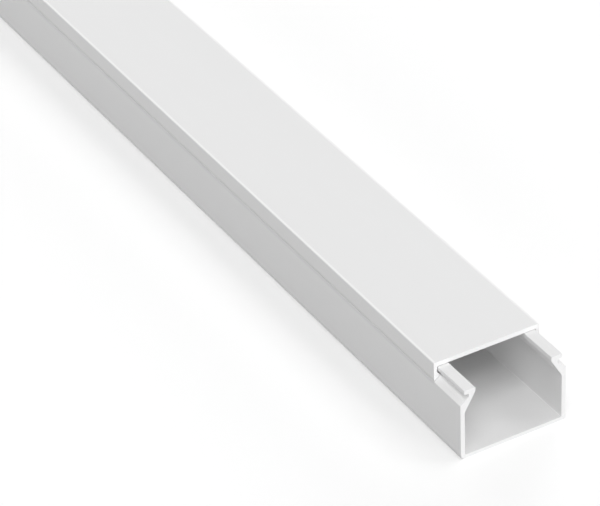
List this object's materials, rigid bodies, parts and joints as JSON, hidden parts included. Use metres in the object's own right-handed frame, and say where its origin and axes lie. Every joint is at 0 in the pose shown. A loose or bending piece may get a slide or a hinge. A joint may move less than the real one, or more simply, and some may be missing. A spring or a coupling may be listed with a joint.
{
  "type": "cable trunking",
  "caption": "Straight length of white PVC mini-trunking for cables: an open channel whose leaning lips end in hooks, closed by a lid with barbed legs that snap under the hooks and slide along them.",
  "frame": {"origin": "centre of the base's back face, the flat face that goes against the wall or lies on the floor", "axes": "+Z out of the back face towards the lid, Y along the length with the front end at -Y, X across the width"},
  "size_m": [0.025, 1.0097, 0.0178],
  "materials": {
    "base_pvc": "extruded rigid PVC, satin white, saw-cut ends",
    "lid_pvc": "extruded rigid PVC, satin white, saw-cut ends"
  },
  "bodies": {
    "base": {"base": "base_pvc"},
    "lid": {"lid": "lid_pvc"}
  },
  "joints": [
    {"name": "lid_slide", "type": "slide", "parent": "base", "child": "lid", "axis": [0, 1, 0], "range_m": [-0.0097, 0.9903]}
  ]
}
